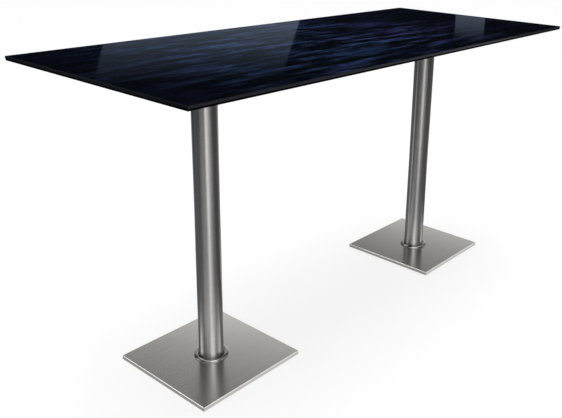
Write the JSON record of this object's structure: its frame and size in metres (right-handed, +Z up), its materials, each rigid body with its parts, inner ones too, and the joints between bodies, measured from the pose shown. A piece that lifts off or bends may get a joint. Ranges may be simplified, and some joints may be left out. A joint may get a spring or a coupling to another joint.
{
  "type": "high table",
  "caption": "Standing-height table: thin dark glass top on two round stainless columns, each on a square base with levelling glides.",
  "frame": {"origin": "on the floor, under the middle of the top", "axes": "+Z up, +X along the top's length, +Y across it"},
  "size_m": [2.15, 0.9, 1.1],
  "materials": {
    "dark_glass": "back-coloured glass, near-black with a blue streaky pattern, ground edges",
    "black_laminate": "compact laminate board, satin black",
    "brushed_stainless": "fine brushed",
    "polished_stainless": "polished",
    "black_coated_steel": "black powder coating, fine texture",
    "zinc_plated_steel": "bright zinc plating",
    "black_plastic": "moulded black plastic"
  },
  "bodies": {
    "table": {"glass_top": "dark_glass", "carrier_board": "black_laminate", "left_column_tube": "brushed_stainless", "left_collar_ring": "polished_stainless", "left_base_cover": "brushed_stainless", "left_ballast_plate": "black_coated_steel", "left_head_plate": "black_coated_steel", "left_foot_hub": "zinc_plated_steel", "left_tie_rod": "zinc_plated_steel", "left_foot_nut": "zinc_plated_steel", "left_head_washer": "zinc_plated_steel", "left_head_nut": "zinc_plated_steel", "left_top_bolt_1": "zinc_plated_steel", "left_top_bolt_2": "zinc_plated_steel", "left_top_bolt_3": "zinc_plated_steel", "left_top_bolt_4": "zinc_plated_steel", "left_top_nut_1": "zinc_plated_steel", "left_top_nut_2": "zinc_plated_steel", "left_top_nut_3": "zinc_plated_steel", "left_top_nut_4": "zinc_plated_steel", "right_column_tube": "brushed_stainless", "right_collar_ring": "polished_stainless", "right_base_cover": "brushed_stainless", "right_ballast_plate": "black_coated_steel", "right_head_plate": "black_coated_steel", "right_foot_hub": "zinc_plated_steel", "right_tie_rod": "zinc_plated_steel", "right_foot_nut": "zinc_plated_steel", "right_head_washer": "zinc_plated_steel", "right_head_nut": "zinc_plated_steel", "right_top_bolt_1": "zinc_plated_steel", "right_top_bolt_2": "zinc_plated_steel", "right_top_bolt_3": "zinc_plated_steel", "right_top_bolt_4": "zinc_plated_steel", "right_top_nut_1": "zinc_plated_steel", "right_top_nut_2": "zinc_plated_steel", "right_top_nut_3": "zinc_plated_steel", "right_top_nut_4": "zinc_plated_steel"},
    "left_glide_1": {"left_glide_stud_1": "zinc_plated_steel", "left_glide_pad_1": "black_plastic"},
    "left_glide_2": {"left_glide_stud_2": "zinc_plated_steel", "left_glide_pad_2": "black_plastic"},
    "left_glide_3": {"left_glide_stud_3": "zinc_plated_steel", "left_glide_pad_3": "black_plastic"},
    "left_glide_4": {"left_glide_stud_4": "zinc_plated_steel", "left_glide_pad_4": "black_plastic"},
    "right_glide_1": {"right_glide_stud_1": "zinc_plated_steel", "right_glide_pad_1": "black_plastic"},
    "right_glide_2": {"right_glide_stud_2": "zinc_plated_steel", "right_glide_pad_2": "black_plastic"},
    "right_glide_3": {"right_glide_stud_3": "zinc_plated_steel", "right_glide_pad_3": "black_plastic"},
    "right_glide_4": {"right_glide_stud_4": "zinc_plated_steel", "right_glide_pad_4": "black_plastic"}
  },
  "joints": [
    {"name": "left_glide_1_level", "type": "slide", "parent": "table", "child": "left_glide_1", "axis": [0, 0, -1], "range_m": [0, 0.005]},
    {"name": "left_glide_2_level", "type": "slide", "parent": "table", "child": "left_glide_2", "axis": [0, 0, -1], "range_m": [0, 0.005]},
    {"name": "left_glide_3_level", "type": "slide", "parent": "table", "child": "left_glide_3", "axis": [0, 0, -1], "range_m": [0, 0.005]},
    {"name": "left_glide_4_level", "type": "slide", "parent": "table", "child": "left_glide_4", "axis": [0, 0, -1], "range_m": [0, 0.005]},
    {"name": "right_glide_1_level", "type": "slide", "parent": "table", "child": "right_glide_1", "axis": [0, 0, -1], "range_m": [0, 0.005]},
    {"name": "right_glide_2_level", "type": "slide", "parent": "table", "child": "right_glide_2", "axis": [0, 0, -1], "range_m": [0, 0.005]},
    {"name": "right_glide_3_level", "type": "slide", "parent": "table", "child": "right_glide_3", "axis": [0, 0, -1], "range_m": [0, 0.005]},
    {"name": "right_glide_4_level", "type": "slide", "parent": "table", "child": "right_glide_4", "axis": [0, 0, -1], "range_m": [0, 0.005]}
  ]
}
